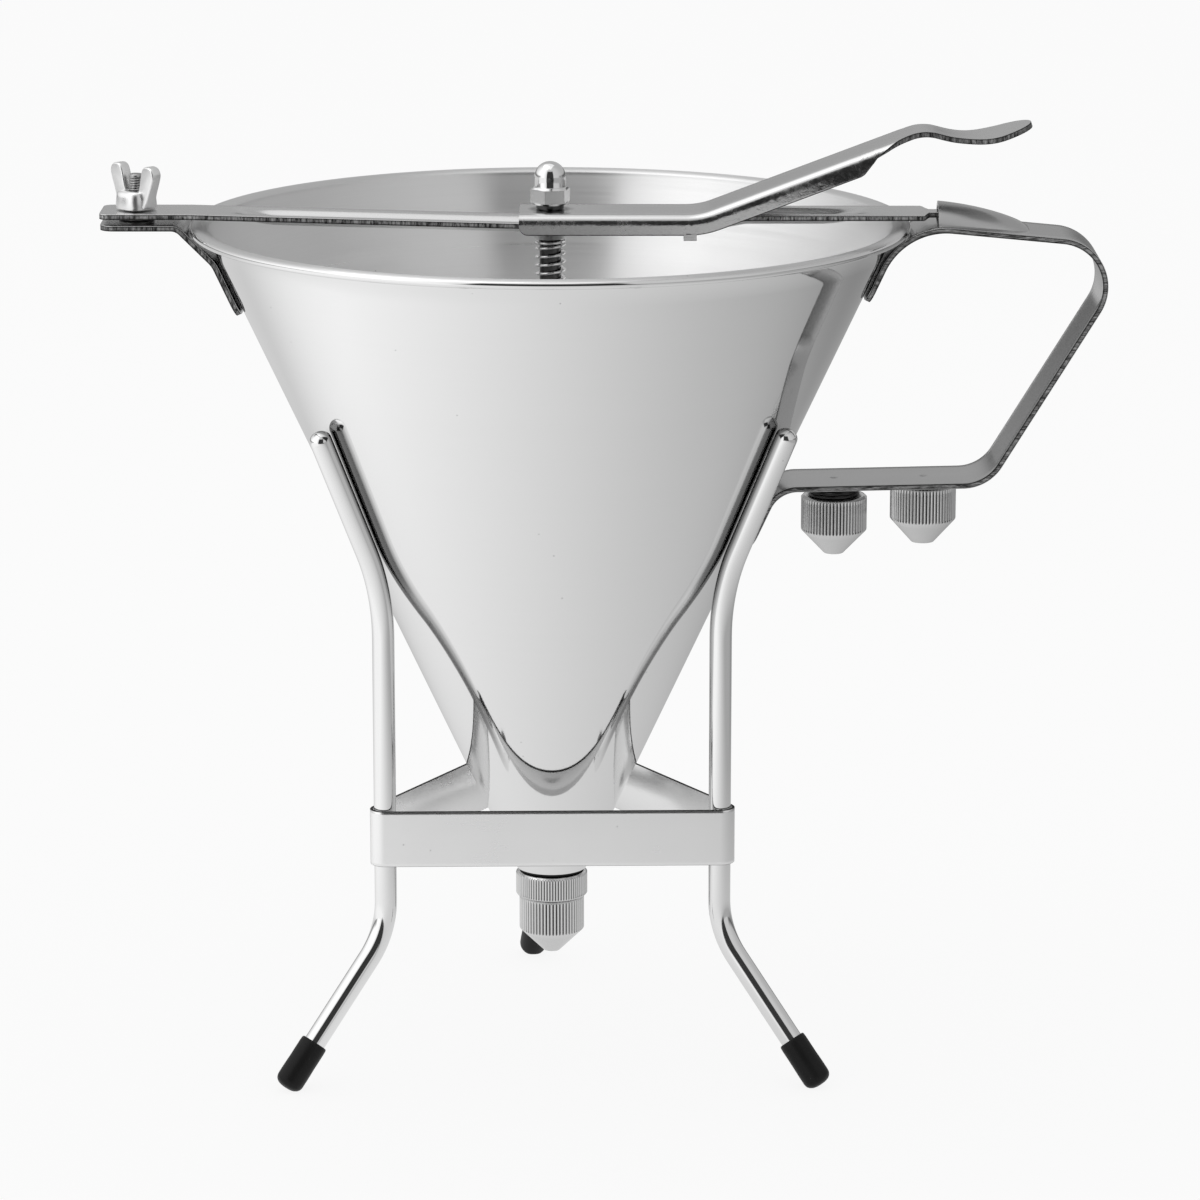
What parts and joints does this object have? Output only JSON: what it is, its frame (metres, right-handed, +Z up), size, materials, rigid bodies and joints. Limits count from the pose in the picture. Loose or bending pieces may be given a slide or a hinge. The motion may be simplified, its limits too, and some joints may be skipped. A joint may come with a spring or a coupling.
{
  "type": "dispensing funnel",
  "caption": "Conical dispensing funnel in a wire tripod stand: a thumb lever on the crossbar lifts a sprung rod that opens the nozzle; strap handle with spare nozzles screwed below it.",
  "frame": {"origin": "middle of the footprint of the whole object, on the floor under the feet", "axes": "+X from the clamp lug towards the handle, +Z up, -Y towards the viewer of the picture"},
  "size_m": [0.2786, 0.2, 0.2668],
  "materials": {
    "cone_steel": "bright satin sheet steel, brushed round inside",
    "strap_steel": "brushed strip with sheared edges",
    "bar_steel": "pressed strip, satin",
    "wire_chrome": "polished wire",
    "knurled_steel": "turned and knurled, satin",
    "polished_steel": "polished turned steel",
    "zinc": "matt cast and plated",
    "spring_steel": "drawn spring wire",
    "black_rubber": "satin black rubber"
  },
  "bodies": {
    "stand": {"leg_left": "wire_chrome", "leg_right": "wire_chrome", "leg_back": "wire_chrome", "triangle_band": "bar_steel", "foot_cap_left": "black_rubber", "foot_cap_right": "black_rubber", "foot_cap_back": "black_rubber"},
    "funnel": {"funnel_cone": "cone_steel", "left_lug": "strap_steel", "handle_strap": "strap_steel", "crossbar": "bar_steel", "clamp_stud": "zinc", "spout_bush": "knurled_steel", "spout_gasket": "black_rubber", "stud_medium": "knurled_steel", "stud_coarse": "knurled_steel"},
    "lever_arm": {"lever": "bar_steel"},
    "piston": {"piston_rod": "polished_steel", "piston_tip": "polished_steel", "spring_stop": "polished_steel", "cap_nut": "polished_steel", "return_spring": "spring_steel"},
    "clamp_nut": {"wing_nut": "zinc"},
    "collar": {"collar_ring": "knurled_steel"},
    "outlet": {"nozzle": "knurled_steel"},
    "spare_medium": {"spare_nozzle_medium": "knurled_steel"},
    "spare_coarse": {"spare_nozzle_coarse": "knurled_steel"}
  },
  "joints": [
    {"name": "funnel_lift", "type": "slide", "parent": "stand", "child": "funnel", "axis": [0, 0, 1], "range_m": [0, 0.2]},
    {"name": "lever_press", "type": "hinge", "parent": "funnel", "child": "lever_arm", "pos_m": [0.02616, 0, 0.24145], "axis": [0, 1, 0], "range_deg": [0, 12], "stiffness_Nm_per_rad": 1.2, "springref_deg": -5.73},
    {"name": "rod_lift", "type": "slide", "parent": "funnel", "child": "piston", "axis": [0, 0, 1], "range_m": [0, 0.0099], "deforming": ["return_spring"]},
    {"name": "wing_nut_turn", "type": "hinge", "parent": "funnel", "child": "clamp_nut", "pos_m": [-0.12964, 0, 0.2423], "axis": [0, 0, 1], "continuous": true},
    {"name": "collar_turn", "type": "hinge", "parent": "funnel", "child": "collar", "pos_m": [-0.01484, 0, 0.048], "axis": [0, 0, 1], "continuous": true},
    {"name": "nozzle_turn", "type": "hinge", "parent": "funnel", "child": "outlet", "pos_m": [-0.01484, 0, 0.04], "axis": [0, 0, 1], "continuous": true},
    {"name": "spare_medium_turn", "type": "hinge", "parent": "funnel", "child": "spare_medium", "pos_m": [0.0648, 0, 0.155], "axis": [0, 0, 1], "continuous": true},
    {"name": "spare_coarse_turn", "type": "hinge", "parent": "funnel", "child": "spare_coarse", "pos_m": [0.0898, 0, 0.155], "axis": [0, 0, 1], "continuous": true}
  ],
  "couplings": [
    {"joint": "rod_lift", "follows": "lever_press", "m_per_rad": 0.047}
  ]
}
